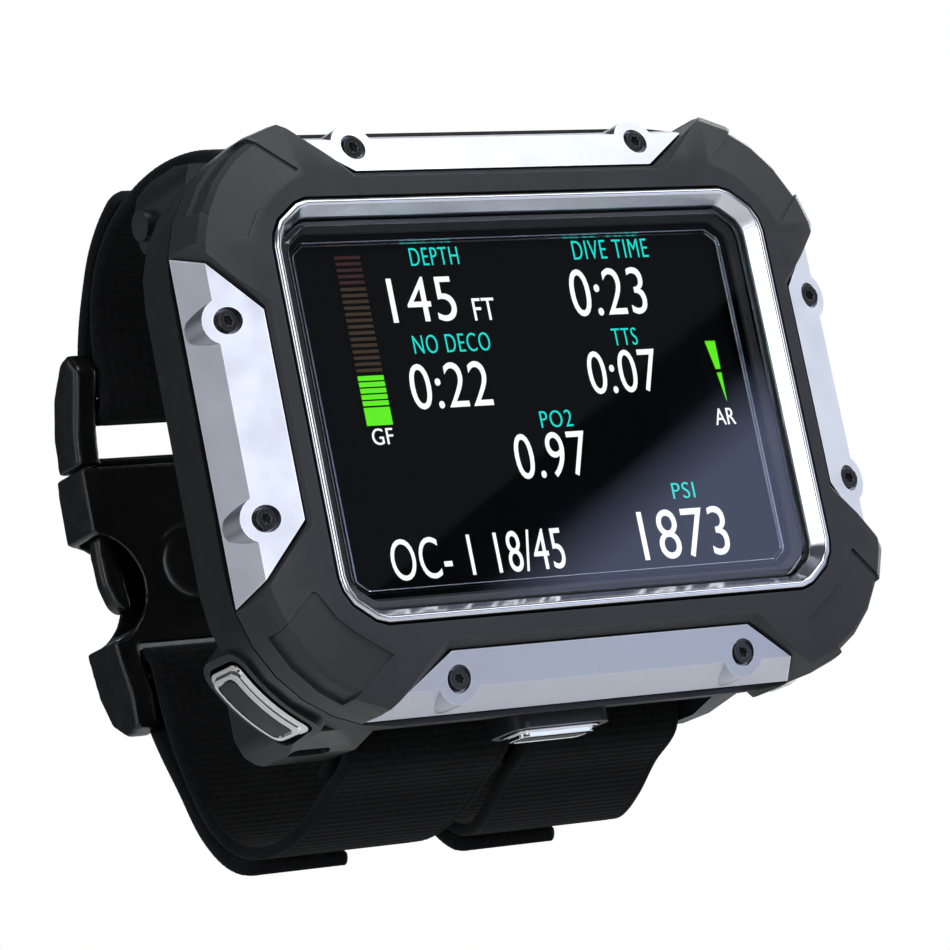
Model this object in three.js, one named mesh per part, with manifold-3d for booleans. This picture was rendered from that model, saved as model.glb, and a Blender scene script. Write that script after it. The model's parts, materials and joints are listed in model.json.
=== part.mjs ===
// Wrist dive computer with two webbing straps.
// Millimetres. X runs along the display's width, Y runs from the display into the arm, Z is up.
// The origin is the centre of the flat rear face, which rests on the arm.
// Inside the nested group, depth 0 is the plane of the eight screw rims and depth grows with Y.

import * as THREE from 'three';
import { mergeVertices } from 'three/addons/utils/BufferGeometryUtils.js';
import Module from 'manifold-3d';

const wasm = await Module();
wasm.setup();

// ---- Driving dimensions ----------------------------------------------------------------------

const GAP = 0.3;                  // clearance between neighbouring pieces

// Housing
const HALF_WIDTH = 48.3;          // at the seam between bumper and rear case
const HALF_HEIGHT = 38.2;
const CORNER_RADIUS = 20;
const SEAM_DEPTH = 6.3;
const WALL_END_DEPTH = 15;        // where the straight side wall turns into the rear chamfer
const REAR_DEPTH = 22;            // flat rear face
const WALL_TAPER = 1.2;           // inset of the wall at WALL_END_DEPTH
const REAR_INSET = 6;             // inset of the flat rear face
const CAVITY_INSET = 7.2;
const CAVITY_FLOOR = 19;
const FACE_DEPTH = -2.2;          // front face of the bumper round the bezel
const FACE_INSET = 7.9;

// The sunk panel at each corner of the bumper, drawn for the upper right corner
const PANEL_SUNK = 0.3;
const PANEL_WALL_SUNK = 0.45;
const PANEL_WALL_DEPTH = 2.6;
const PANEL_QUARTER = [
  [49.5, 29.4], [41.7, 22.3], [41, 22.6], [39, 25.8], [36.8, 27.8], [31.9, 31], [39.5, 37.2], [49.5, 37.2],
];

// Bezel, lens and display stack
const BEZEL_CORNER = [[37.8, 20.9], [37.45, 22.6], [36.4, 24.4], [33.6, 26.5], [31.9, 27.05]];
const BEZEL_TOP = -2.5;
const BEZEL_WIDTH = 2;
const BEZEL_BACK = 1.4;
const LENS_INSET = BEZEL_WIDTH + GAP;
const LENS_DEPTH = -0.5;          // front face of the lens, sunk in the bezel

// Depth sensor and charging contacts, in the rear wall
const SENSOR_Z = -16.6;
const SENSOR_RADIUS = 4.6;
const COVER_RADIUS = 6;
const CONTACT_XS = [-3.5, 3.5];
const CONTACT_Z = 22;
const CONTACT_RADIUS = 1.1;

// Frame plates and their screws
const SCREW_PLACES = [
  { name: 'top_left', x: -21.9, z: 34.3 },
  { name: 'top_right', x: 21.9, z: 34.3 },
  { name: 'bottom_left', x: -21.9, z: -34.3 },
  { name: 'bottom_right', x: 21.9, z: -34.3 },
  { name: 'left_upper', x: -45, z: 12.5 },
  { name: 'left_lower', x: -45, z: -12.5 },
  { name: 'right_upper', x: 45, z: 12.5 },
  { name: 'right_lower', x: 45, z: -12.5 },
];
const PLATE_THICKNESS = 2;
const BOSS_RADIUS = 3.1;
const COUNTERBORE_RADIUS = 1.75;
const COUNTERBORE_DEPTH = 1.25;
const SCREW_HEAD_RADIUS = 1.42;
const SCREW_SHANK_RADIUS = 0.8;
const SOCKET_RADIUS = 0.78;
const SCREW_LENGTH = 12;

// Strap bars, webbing and buckles
const BAR_DEPTH = 23.5;
const BAR_HEIGHT = 36;
const BAR_RADIUS = 1;
const BAR_HALF_LENGTH = 29;
const LUG_INNER_X = 26.4;
const LUG_LONG_X = 39;
const LUG_SHORT_X = 31.6;
const LUG_TOP_Z = 38.4;
const LUG_BACK_DEPTH = 26.5;
const WEBBING_WIDTH = 25;
const WEBBING_THICKNESS = 1.8;
const TAIL_NARROWER = 8.5;        // the free tail stops this far short of the band's right edge
const PLY_PITCH = 2.2;            // middle of one ply to the middle of the next
const RUN_STEPS = 28;             // straight pieces in a webbing run
const FLAP_STEPS = 4;             // those of them that the sewn end covers
const STRAP_X_AT_CASE = 13.5;
const STRAP_X_AT_BUCKLE = 17;
const SPLAY_START = 27;           // depths between which a strap moves sideways
const SPLAY_END = 52;
const BUCKLE_BAR_RADIUS = 1.2;
const BUCKLE_HALF_WIDTH = 16.3;
const RAIL_INNER = WEBBING_WIDTH / 2 + GAP;
const MALE_BAR = [61.2, 19.2];    // depth, height
const FEMALE_BAR = [60.9, -18.2];
const MOUTH_HEIGHT = 10.2;
const PANEL_DEPTH = 60.4;         // the face of the female half towards the case
const RING_X = -2.3;              // the plain raised ring on that face
const RING_Z = -4.1;

// Buttons
const BUTTON_TRAVEL = 0.8;
const CAP_THICKNESS = 3;
const CAP_RADIUS = 1.4;
const STEM_RADIUS = 1.5;
const STEM_END = 12.4;
const WELL_RADIUS = 3.6;
const WELL_FLOOR = 5.9;

// Each button: half its length and of its width, the radius of its bowed face (0 if flat), the width
// of its guard rim, the height of its clip, the place of its face and its turn about Y in degrees.
const BUTTONS = [
  {
    name: 'left', halfLength: 6.4, frontHalf: 3.5, bow: 24, guard: 1.3, clipAt: 8.7,
    x: -42.7, z: -33.3, depth: 14.7, turn: 45,
  },
  {
    name: 'centre', halfLength: 6.3, frontHalf: 2.7, bow: 0, guard: 1.3, clipAt: 9.6,
    x: 0, z: -40.3, depth: 14.2, turn: 0,
  },
  {
    name: 'right', halfLength: 6.4, frontHalf: 3.5, bow: 24, guard: 1.3, clipAt: 8.7,
    x: 42.7, z: -33.3, depth: 14.7, turn: -45,
  },
];

// ---- Solids ----------------------------------------------------------------------------------

function solid(geometry) {
  const bare = geometry.clone();
  bare.deleteAttribute('normal');
  bare.deleteAttribute('uv');
  const merged = mergeVertices(bare, 1e-4);
  const triangles = new wasm.Mesh({
    numProp: 3,
    vertProperties: new Float32Array(merged.attributes.position.array),
    triVerts: new Uint32Array(merged.index.array),
  });
  return new wasm.Manifold(triangles);
}

function geometryOf(body) {
  const triangles = body.getMesh();
  const geometry = new THREE.BufferGeometry();
  geometry.setAttribute('position', new THREE.BufferAttribute(triangles.vertProperties, 3));
  geometry.setIndex(new THREE.BufferAttribute(triangles.triVerts, 1));
  geometry.computeVertexNormals();
  return geometry;
}

function shapeFrom(points) {
  return new THREE.Shape(points.map(([a, b]) => new THREE.Vector2(a, b)));
}

// Extrudes an outline of [x, z] points between two depths.
function slab(points, front, back) {
  const geometry = new THREE.ExtrudeGeometry(shapeFrom(points), { depth: back - front, bevelEnabled: false });
  geometry.rotateX(Math.PI / 2);
  geometry.translate(0, back, 0);
  return solid(geometry);
}

// Extrudes an outline of [depth, z] points from x0 to x1.
function rail(points, x0, x1) {
  const geometry = new THREE.ExtrudeGeometry(shapeFrom(points), { depth: x1 - x0, bevelEnabled: false });
  const turn = new THREE.Matrix4().makeBasis(
    new THREE.Vector3(0, 1, 0),
    new THREE.Vector3(0, 0, 1),
    new THREE.Vector3(1, 0, 0),
  );
  geometry.applyMatrix4(turn);
  geometry.translate(x0, 0, 0);
  return solid(geometry);
}

// Extrudes an outline of [x, depth] points along Z.
function prism(points, z0, z1) {
  const geometry = new THREE.ExtrudeGeometry(shapeFrom(points), { depth: z1 - z0, bevelEnabled: false });
  geometry.translate(0, 0, z0);
  return solid(geometry);
}

// A closed skin through outlines of equal point count, each { depth, points }, front to back.
function loft(rings) {
  const count = rings[0].points.length;
  const positions = [];
  for (const ring of rings) {
    for (const [x, z] of ring.points) positions.push(x, ring.depth, z);
  }
  const faces = [];
  for (let level = 0; level < rings.length - 1; level += 1) {
    for (let i = 0; i < count; i += 1) {
      const near = level * count + i;
      const nearNext = level * count + ((i + 1) % count);
      faces.push(near, near + count, nearNext + count, near, nearNext + count, nearNext);
    }
  }
  const flat = rings[0].points.map(([x, z]) => new THREE.Vector2(x, z));
  const last = (rings.length - 1) * count;
  for (const [a, b, c] of THREE.ShapeUtils.triangulateShape(flat, [])) {
    faces.push(a, b, c);
    faces.push(last + c, last + b, last + a);
  }
  const geometry = new THREE.BufferGeometry();
  geometry.setAttribute('position', new THREE.Float32BufferAttribute(positions, 3));
  geometry.setIndex(faces);
  return solid(geometry);
}

function box(x0, x1, front, back, z0, z1) {
  const geometry = new THREE.BoxGeometry(x1 - x0, back - front, z1 - z0);
  geometry.translate((x0 + x1) / 2, (front + back) / 2, (z0 + z1) / 2);
  return solid(geometry);
}

// A cylinder along Y (a hole or boss seen round from the front).
function depthPin(x, z, radius, front, back, sides = 16) {
  const geometry = new THREE.CylinderGeometry(radius, radius, back - front, sides);
  geometry.translate(x, (front + back) / 2, z);
  return solid(geometry);
}

// A cylinder along X.
function crossPin(depth, z, radius, x0, x1, sides = 16) {
  const geometry = new THREE.CylinderGeometry(radius, radius, x1 - x0, sides);
  geometry.rotateZ(Math.PI / 2);
  geometry.translate((x0 + x1) / 2, depth, z);
  return solid(geometry);
}

// A cylinder along Z.
function uprightPin(radius, z0, z1, sides = 16) {
  const geometry = new THREE.CylinderGeometry(radius, radius, z1 - z0, sides);
  geometry.rotateX(Math.PI / 2);
  geometry.translate(0, 0, (z0 + z1) / 2);
  return solid(geometry);
}

function joined(bodies) {
  return bodies.reduce((whole, body) => whole.add(body));
}

function cut(body, tools) {
  return tools.reduce((rest, tool) => rest.subtract(tool), body);
}

// A rectangle with quarter-round corners, anticlockwise, as [a, b] points.
function roundedBox(halfA, halfB, radius, steps) {
  const points = [];
  for (let corner = 0; corner < 4; corner += 1) {
    const signA = corner === 0 || corner === 3 ? 1 : -1;
    const signB = corner < 2 ? 1 : -1;
    for (let i = 0; i <= steps; i += 1) {
      const angle = (corner + i / steps) * Math.PI / 2;
      points.push([
        signA * (halfA - radius) + radius * Math.cos(angle),
        signB * (halfB - radius) + radius * Math.sin(angle),
      ]);
    }
  }
  return points;
}

function caseOutline(inset) {
  return roundedBox(HALF_WIDTH - inset, HALF_HEIGHT - inset, CORNER_RADIUS - inset, 7);
}

// Moves every side of a convex outline inward by the same amount.
function insetOutline(points, inset) {
  const count = points.length;
  const sides = points.map(([a, b], i) => {
    const [c, d] = points[(i + 1) % count];
    const length = Math.hypot(c - a, d - b);
    const normal = [(d - b) / length, (a - c) / length];
    return { normal, reach: normal[0] * a + normal[1] * b - inset };
  });
  return points.map((_, i) => {
    const before = sides[(i + count - 1) % count];
    const after = sides[i];
    const det = before.normal[0] * after.normal[1] - before.normal[1] * after.normal[0];
    return [
      (before.reach * after.normal[1] - after.reach * before.normal[1]) / det,
      (after.reach * before.normal[0] - before.reach * after.normal[0]) / det,
    ];
  });
}

// The bezel's rectangle has cut, slightly rounded corners.
function bezelOutline(inset) {
  const quarter = BEZEL_CORNER;
  const outline = [
    ...quarter,
    ...quarter.map(([x, z]) => [-x, z]).reverse(),
    ...quarter.map(([x, z]) => [-x, -z]),
    ...quarter.map(([x, z]) => [x, -z]).reverse(),
  ];
  return insetOutline(outline, inset);
}

function moved(points, a, b) {
  return points.map(([p, q]) => [p + a, q + b]);
}

// ---- Materials -------------------------------------------------------------------------------

const finish = (color, roughness, metalness) => ({ color, roughness, metalness });
const CHARCOAL = finish(0x2a2b2e, 0.55, 0);
const CASE_BLACK = finish(0x1b1c1e, 0.45, 0);
const ALUMINIUM = finish(0xb4b8c4, 0.35, 0.9);
const CHROME = finish(0xe2e4e8, 0.08, 1);
const STEEL = finish(0x9a9ca0, 0.3, 1);
const BLACK_STEEL = finish(0x141416, 0.35, 0.8);
const GLASS = finish(0x0a0b0e, 0.04, 0);
const SCREEN = finish(0x050506, 0.3, 0);
const RUBBER = finish(0x111112, 0.8, 0);
const BOARD_GREEN = finish(0x1d4a2c, 0.6, 0);
const CELL_GREY = finish(0x8d9196, 0.5, 0);
const GOLD = finish(0xc9a04a, 0.3, 1);
const WEBBING = finish(0x131315, 0.95, 0);
const BUCKLE_BLACK = finish(0x0c0c0d, 0.25, 0);

function piece(name, body, look) {
  const mesh = new THREE.Mesh(geometryOf(body), new THREE.MeshStandardMaterial(look));
  mesh.name = name;
  return mesh;
}

// ---- Housing ---------------------------------------------------------------------------------

// The pocket that a button's guard leaves, and the stepped bore behind it, in the button's frame:
// the cap's outer face is at z = 0 and pressing moves it along +Z.
function buttonBore({ halfLength, frontHalf }) {
  const room = GAP + 0.1;
  const pocketDepth = CAP_THICKNESS + BUTTON_TRAVEL + GAP;
  const outline = roundedBox(halfLength + room, frontHalf + room, CAP_RADIUS + room, 4);
  const pocket = prism(outline, -8, pocketDepth);
  const springWell = uprightPin(WELL_RADIUS, pocketDepth - 0.1, WELL_FLOOR, 20);
  const stemHole = uprightPin(STEM_RADIUS + GAP, pocketDepth, pocketDepth + 12, 16);
  return joined([pocket, springWell, stemHole]);
}

// The layer between two heights of a button's frame, bowed to the arc of the case under it.
function bowedSlab(button, z0, z1, margin = 1) {
  const half = button.halfLength + margin;
  const bow = (x) => (button.bow ? button.bow - Math.sqrt(button.bow ** 2 - x ** 2) : 0);
  const steps = button.bow ? 10 : 1;
  const outer = [];
  for (let i = 0; i <= steps; i += 1) {
    const x = -half + 2 * half * i / steps;
    outer.push([x, z0 + bow(x)]);
  }
  const inner = outer.map(([x, z]) => [x, Math.max(z1, z + 0.05)]).reverse();
  return slab([...outer, ...inner], -12, 12);
}

// Places a body that was made in a button's frame.
function atButton(button, body) {
  return body.rotate([0, button.turn, 0]).translate([button.x, button.depth, button.z]);
}

// A rounded rim round each button, as proud as the button's edge.
function buttonGuard(button) {
  const margin = button.guard;
  const outline = roundedBox(button.halfLength + margin, button.frontHalf + margin, margin + 1.2, 5);
  const rim = prism(outline, 0, 9).intersect(bowedSlab(button, 0.9, 9, margin));
  return atButton(button, rim);
}

// A lug holds one end of a strap bar. Its back is rounded round the bar and its outer end is cut off
// aslant. The left lugs are longer and have a slot for a lanyard, and the upper one has a knob.
function cornerLug(signX, signZ) {
  const isLong = signX < 0;
  const outerX = isLong ? LUG_LONG_X : LUG_SHORT_X;
  const profile = [
    [13, 29], [LUG_BACK_DEPTH - 0.6, 29], [LUG_BACK_DEPTH, 30], [LUG_BACK_DEPTH, LUG_TOP_Z - 1.4],
    [LUG_BACK_DEPTH - 0.5, LUG_TOP_Z - 0.5], [LUG_BACK_DEPTH - 1.5, LUG_TOP_Z],
    [19, LUG_TOP_Z], [13, LUG_TOP_Z - 1.6],
  ].map(([depth, z]) => [depth, signZ * z]);
  const blockEnds = [LUG_INNER_X, outerX].map((x) => signX * x).sort((a, b) => a - b);
  const across = slab([
    [signX * LUG_INNER_X, signZ * 28],
    [signX * outerX, signZ * 28],
    [signX * outerX, signZ * 34.4],
    [signX * (outerX - 0.9), signZ * 36.6],
    [signX * (outerX - 3), signZ * (LUG_TOP_Z + 0.4)],
    [signX * LUG_INNER_X, signZ * (LUG_TOP_Z + 0.4)],
  ], 10, 30);
  const block = rail(profile, ...blockEnds).intersect(across);
  if (!isLong) return block;
  const slot = slab(roundedBox(3, 1.1, 1, 3), -6, 6).rotate([90, 0, 0]);
  const slotted = cut(block, [slot.translate([signX * 33.4, 18.8, signZ * 36.6])]);
  if (signZ < 0) return slotted;
  return slotted.add(crossPin(23.4, 32, 2, -outerX - 1.4, -outerX + 2, 20));
}

// The thin rib that holds the middle of a strap bar, between the two straps.
function barRib(signZ) {
  const middle = signZ * (BAR_HEIGHT - 3.5);
  return box(-0.7, 0.7, 14, LUG_BACK_DEPTH, middle - 2.6, middle + 2.6);
}

function rearCase() {
  const shell = loft([
    { depth: SEAM_DEPTH + GAP, points: caseOutline(0) },
    { depth: WALL_END_DEPTH, points: caseOutline(WALL_TAPER) },
    { depth: REAR_DEPTH, points: caseOutline(REAR_INSET) },
  ]);
  const outside = [shell];
  for (const signZ of [-1, 1]) {
    outside.push(cornerLug(-1, signZ), cornerLug(1, signZ));
    outside.push(barRib(signZ));
  }
  for (const button of BUTTONS) outside.push(buttonGuard(button));

  const cavity = slab(caseOutline(CAVITY_INSET), 0, CAVITY_FLOOR);
  const sealGroove = slab(caseOutline(5.2), SEAM_DEPTH, SEAM_DEPTH + 1.5)
    .subtract(slab(caseOutline(6.6), 0, SEAM_DEPTH + 3));
  const tools = [cavity, sealGroove];
  for (const signZ of [-1, 1]) {
    const reach = BAR_HALF_LENGTH + GAP;
    tools.push(crossPin(BAR_DEPTH, signZ * BAR_HEIGHT, BAR_RADIUS + GAP, -reach, reach));
  }
  for (const { x, z } of SCREW_PLACES) tools.push(depthPin(x, z, SCREW_SHANK_RADIUS + GAP, 0, 14, 12));
  for (const button of BUTTONS) tools.push(atButton(button, buttonBore(button)));
  tools.push(depthPin(0, SENSOR_Z, SENSOR_RADIUS + GAP, 12, REAR_DEPTH - 1.2, 24));
  tools.push(depthPin(0, SENSOR_Z, COVER_RADIUS + GAP, REAR_DEPTH - 1.5, REAR_DEPTH + 1, 24));
  for (const x of CONTACT_XS) {
    tools.push(depthPin(x, CONTACT_Z, CONTACT_RADIUS + GAP, 15, REAR_DEPTH + 1, 12));
  }
  return cut(joined(outside), tools);
}

// The tapered outline of a plate seen from the front, grown by an allowance.
function plateEnds(size, grown, outer) {
  const half = [
    [size.innerHalf + grown, size.inner - grown],
    [size.creaseHalf + grown * 1.3, size.crease],
    [size.outerHalf + grown * 1.3, size.outer],
    [size.outerHalf + grown * 1.3, outer],
  ];
  return [...half, ...half.map(([x, z]) => [-x, z]).reverse()];
}

// The pocket that one frame plate leaves in the bumper, drawn for the top plate.
function platePocket(size) {
  const ends = slab(plateEnds(size, GAP + 0.05, size.outer + 8), -8, 12);
  const under = size.under.map(([z, depth]) => [depth + GAP, z - GAP]);
  const foot = size.under[2][0] - GAP;
  const profile = [[-8, size.inner - GAP], ...under, [12, foot], [12, 60], [-8, 60]];
  return ends.intersect(rail(profile, -60, 60));
}

// The section of a plate as [height, depth] points: its front face leans back towards the outside.
function plateSize({ inner, crease, outer, lean, innerHalf, creaseHalf, outerHalf, screwZ }) {
  const slope = Math.tan(lean * Math.PI / 180);
  const depthAt = (z) => (z - screwZ) * slope;
  const face = [[inner, depthAt(inner)], [crease, depthAt(crease)], [outer, SEAM_DEPTH - 0.4]];
  const under = [
    [inner, depthAt(inner) + PLATE_THICKNESS],
    [crease - 0.7, depthAt(crease) + PLATE_THICKNESS],
    [outer - 1.7, SEAM_DEPTH - 0.4],
  ];
  return { inner, crease, outer, innerHalf, creaseHalf, outerHalf, screwZ, face, under, depthAt };
}

const LONG_PLATE = plateSize({
  inner: 30.9, crease: 35.4, outer: 37.5, screwZ: 34.3, lean: 15,
  innerHalf: 22.8, creaseHalf: 29.6, outerHalf: 32.6,
});
const SHORT_PLATE = plateSize({
  inner: 40.6, crease: 46.4, outer: 48, screwZ: 45, lean: 19.5,
  innerHalf: 13.3, creaseHalf: 20, outerHalf: 22.2,
});

// The four sides, by the angle that turns the top plate onto each.
const SIDES = [
  { name: 'top', turn: 0, size: LONG_PLATE, screwX: 21.9 },
  { name: 'right', turn: 90, size: SHORT_PLATE, screwX: 12.5 },
  { name: 'bottom', turn: 180, size: LONG_PLATE, screwX: 21.9 },
  { name: 'left', turn: 270, size: SHORT_PLATE, screwX: 12.5 },
];

// One frame plate, drawn for the top: an angle section, trimmed to its tapered ends, with a round
// boss at each screw that carries the front face outward.
function framePlate(size, screwX) {
  const ends = slab(plateEnds(size, 0, size.outer + 1), -8, 12);
  const section = [...size.face, ...[...size.under].reverse()].map(([z, depth]) => [depth, z]);
  const angle = ends.intersect(rail(section, -60, 60));
  const bossReach = size.screwZ + BOSS_RADIUS;
  const bossSection = [
    [size.depthAt(size.inner), size.inner],
    [size.depthAt(bossReach), bossReach],
    [SEAM_DEPTH - 0.8, bossReach],
    ...[size.under[1], size.under[0]].map(([z, depth]) => [depth, z]),
  ];
  const bossBlock = rail(bossSection, -60, 60);
  const bosses = [-screwX, screwX].map(
    (x) => depthPin(x, size.screwZ, BOSS_RADIUS, -8, 12, 28).intersect(bossBlock),
  );
  const holes = [];
  for (const x of [-screwX, screwX]) {
    holes.push(depthPin(x, size.screwZ, COUNTERBORE_RADIUS, -8, COUNTERBORE_DEPTH, 24));
    holes.push(depthPin(x, size.screwZ, SCREW_SHANK_RADIUS + GAP, -8, 12, 12));
  }
  return cut(joined([angle, ...bosses]), holes);
}

function bossPocket(size, screwX) {
  const reach = [-screwX, screwX].map(
    (x) => depthPin(x, size.screwZ, BOSS_RADIUS + GAP, -8, SEAM_DEPTH - 0.5, 28),
  );
  const outsideOnly = box(-60, 60, -8, 12, size.screwZ, 60);
  return joined(reach).intersect(outsideOnly);
}

// Each corner carries a shallow panel, sunk into its face and the front of its wall. It leaves a
// raised cheek beside each plate.
function cornerPanels() {
  const floor = loft([
    { depth: FACE_DEPTH + PANEL_SUNK, points: caseOutline(FACE_INSET) },
    { depth: -0.7, points: caseOutline(1.4) },
    { depth: 0, points: caseOutline(0.7) },
    { depth: PANEL_WALL_DEPTH + 1, points: caseOutline(PANEL_WALL_SUNK) },
  ]);
  const tools = [];
  for (const [signX, signZ] of [[1, 1], [-1, 1], [-1, -1], [1, -1]]) {
    const outline = PANEL_QUARTER.map(([x, z]) => [signX * x, signZ * z]);
    tools.push(slab(outline, -8, PANEL_WALL_DEPTH).subtract(floor));
  }
  return tools;
}

// Widens the mouth of a plate's pocket into a sloping wall.
function pocketMouth(size) {
  const outer = size.outer + 8;
  const plateFront = size.face[0][1];
  return loft([
    { depth: plateFront - 2, points: plateEnds(size, 1.6, outer) },
    { depth: plateFront, points: plateEnds(size, GAP + 0.05, outer) },
  ]);
}

function frontBumper() {
  const outside = loft([
    { depth: FACE_DEPTH, points: caseOutline(FACE_INSET) },
    { depth: -0.95, points: caseOutline(1.2) },
    { depth: -0.3, points: caseOutline(0.3) },
    { depth: 1.5, points: caseOutline(0) },
    { depth: SEAM_DEPTH, points: caseOutline(0) },
  ]);
  const tools = [slab(bezelOutline(-GAP), -8, 12), ...cornerPanels()];
  for (const side of SIDES) {
    const bosses = bossPocket(side.size, side.screwX);
    const pocket = joined([platePocket(side.size), bosses, pocketMouth(side.size)]);
    tools.push(pocket.rotate([0, side.turn, 0]));
  }
  for (const { x, z } of SCREW_PLACES) tools.push(depthPin(x, z, SCREW_SHANK_RADIUS + GAP, -8, 12, 12));
  return cut(outside, tools);
}

function screw(x, z) {
  const top = COUNTERBORE_DEPTH - GAP - 1;
  const head = depthPin(x, z, SCREW_HEAD_RADIUS, top, COUNTERBORE_DEPTH - GAP, 12);
  const shank = depthPin(x, z, SCREW_SHANK_RADIUS, top + 0.4, SCREW_LENGTH, 8);
  const star = [];
  for (let i = 0; i < 12; i += 1) {
    const reach = i % 2 ? SOCKET_RADIUS * 0.7 : SOCKET_RADIUS;
    star.push([x + reach * Math.cos(i * Math.PI / 6), z + reach * Math.sin(i * Math.PI / 6)]);
  }
  return cut(head.add(shank), [slab(star, top - 1, top + 0.7)]);
}

// ---- Lens and display stack --------------------------------------------------------------------

function frameOf(outer, inner, front, back) {
  return slab(outer, front, back).subtract(slab(inner, front - 1, back + 1));
}

function bezelRing() {
  const outside = loft([
    { depth: BEZEL_TOP, points: bezelOutline(0.3) },
    { depth: BEZEL_TOP + 0.3, points: bezelOutline(0) },
    { depth: BEZEL_BACK, points: bezelOutline(0) },
  ]);
  const opening = loft([
    { depth: BEZEL_TOP - 0.15, points: bezelOutline(0.7) },
    { depth: LENS_DEPTH - 0.1, points: bezelOutline(BEZEL_WIDTH) },
    { depth: BEZEL_BACK + 1, points: bezelOutline(BEZEL_WIDTH) },
  ]);
  return cut(outside, [opening]);
}

function lensGlass() {
  return loft([
    { depth: LENS_DEPTH, points: bezelOutline(LENS_INSET + 0.7) },
    { depth: LENS_DEPTH + 0.4, points: bezelOutline(LENS_INSET) },
    { depth: 0.6, points: bezelOutline(LENS_INSET) },
  ]);
}

const lensGasket = () => frameOf(bezelOutline(LENS_INSET), bezelOutline(LENS_INSET + 1.4), 0.9, 1.5);
const displayMask = () => frameOf(bezelOutline(LENS_INSET), bezelOutline(4.5), 1.8, 2.3);
const displayPanel = () => slab(roundedBox(34, 23.6, 3, 2), 2.6, 4.6);
function displayCarrier() {
  const tray = frameOf(bezelOutline(1.5), roundedBox(34.3, 23.9, 3, 2), 2.6, 4.9);
  const floor = frameOf(bezelOutline(1.5), roundedBox(27, 17, 2, 2), 4.9, 5.8);
  return tray.add(floor);
}

// ---- Inside the rear case ----------------------------------------------------------------------

const mainSeal = () => frameOf(caseOutline(5.5), caseOutline(6.3), SEAM_DEPTH + GAP, SEAM_DEPTH + 1.2);

function mainBoard() {
  const sheet = slab(roundedBox(38.5, 28.5, 9, 3), 7.4, 8.5);
  const chips = [
    box(-14, -2, 8.3, 9.7, 4, 16),
    box(8, 17, 8.3, 9.5, 2, 11),
    box(-30, -22, 8.3, 9.4, -6, 2),
    box(24, 31, 8.3, 9.3, -10, -1),
    box(-7, 7, 8.3, 9.6, -14, -9),
  ];
  return joined([sheet, ...chips, ...BUTTONS.map(tactSwitch)]);
}

// The lithium cell: a pouch with a rounded outline and a taped tab end.
function batteryCell() {
  const pouch = slab(moved(roundedBox(25, 13.5, 2.5, 4), 0, 2.5), 10.4, 17.2);
  const tab = box(-9, 9, 11.6, 13.6, 15.5, 18.4);
  return pouch.add(tab);
}

// Ferrite rod and end flanges of the coil that hears the tank transmitter.
function receiverCoil() {
  const z = 24.5;
  const core = crossPin(13.5, z, 1.2, -30, -12, 12);
  const winding = crossPin(13.5, z, 2.3, -27, -15, 20);
  return core.add(winding);
}

function depthSensor() {
  const can = depthPin(0, SENSOR_Z, SENSOR_RADIUS, 14.6, REAR_DEPTH - 2.6, 24);
  const port = depthPin(0, SENSOR_Z, 2.6, 18, REAR_DEPTH - 1.9, 20);
  return can.add(port);
}

function sensorCover() {
  const disc = depthPin(0, SENSOR_Z, COVER_RADIUS, REAR_DEPTH - 1.2, REAR_DEPTH - 0.2, 32);
  const holes = [depthPin(0, SENSOR_Z, 0.7, 10, 30, 10)];
  for (let i = 0; i < 6; i += 1) {
    const angle = i * Math.PI / 3;
    holes.push(depthPin(3 * Math.cos(angle), SENSOR_Z + 3 * Math.sin(angle), 0.7, 10, 30, 10));
  }
  return cut(disc, holes);
}

function chargeContact(x) {
  const pin = depthPin(x, CONTACT_Z, CONTACT_RADIUS, 13, REAR_DEPTH - 0.1, 16);
  const flange = depthPin(x, CONTACT_Z, 2.2, 17.4, CAVITY_FLOOR - GAP, 20);
  return pin.add(flange);
}

function strapBar(signZ) {
  return crossPin(BAR_DEPTH, signZ * BAR_HEIGHT, BAR_RADIUS, -BAR_HALF_LENGTH, BAR_HALF_LENGTH, 20);
}

// ---- Buttons, in their own frame ---------------------------------------------------------------

function buttonCap(button) {
  const { halfLength, frontHalf } = button;
  const step = 0.6;
  const body = prism(roundedBox(halfLength, frontHalf, CAP_RADIUS, 4), 0, CAP_THICKNESS);
  const crownOutline = roundedBox(halfLength - step, frontHalf - step, CAP_RADIUS - step / 2, 4);
  const crown = prism(crownOutline, 0, CAP_THICKNESS);
  const cap = joined([
    body.intersect(bowedSlab(button, step, CAP_THICKNESS)),
    crown.intersect(bowedSlab(button, 0, CAP_THICKNESS)),
  ]);
  const dishFloor = bowedSlab(button, 0.6, 6);
  const dish = insertOutline(button, 0).intersect(bowedSlab(button, -2, 5).subtract(dishFloor));
  const stemSocket = uprightPin(STEM_RADIUS + GAP, 1.6, CAP_THICKNESS + 1, 16);
  return cut(cap, [dish, stemSocket]);
}

// The dark insert lies nearer the rear edge of the cap, which leaves a broader rim at the front.
function insertOutline(button, gap) {
  const outline = roundedBox(button.halfLength - 1.2 - gap, button.frontHalf - 1.35 - gap, 0.9, 3);
  return prism(moved(outline, 0, 0.35), -2, 3);
}

function buttonInsert(button) {
  const layer = bowedSlab(button, 0.05, 3).subtract(bowedSlab(button, 0.4, 6));
  return insertOutline(button, 0.25).intersect(layer);
}

function buttonStem(button) {
  const shaft = uprightPin(STEM_RADIUS, 1.6 + GAP, STEM_END, 16);
  const groove = uprightPin(STEM_RADIUS + 1, button.clipAt - 0.2, button.clipAt + 0.7, 16);
  const core = uprightPin(STEM_RADIUS - 0.5, button.clipAt - 1, button.clipAt + 2, 16);
  return cut(shaft, [groove.subtract(core)]);
}

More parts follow.
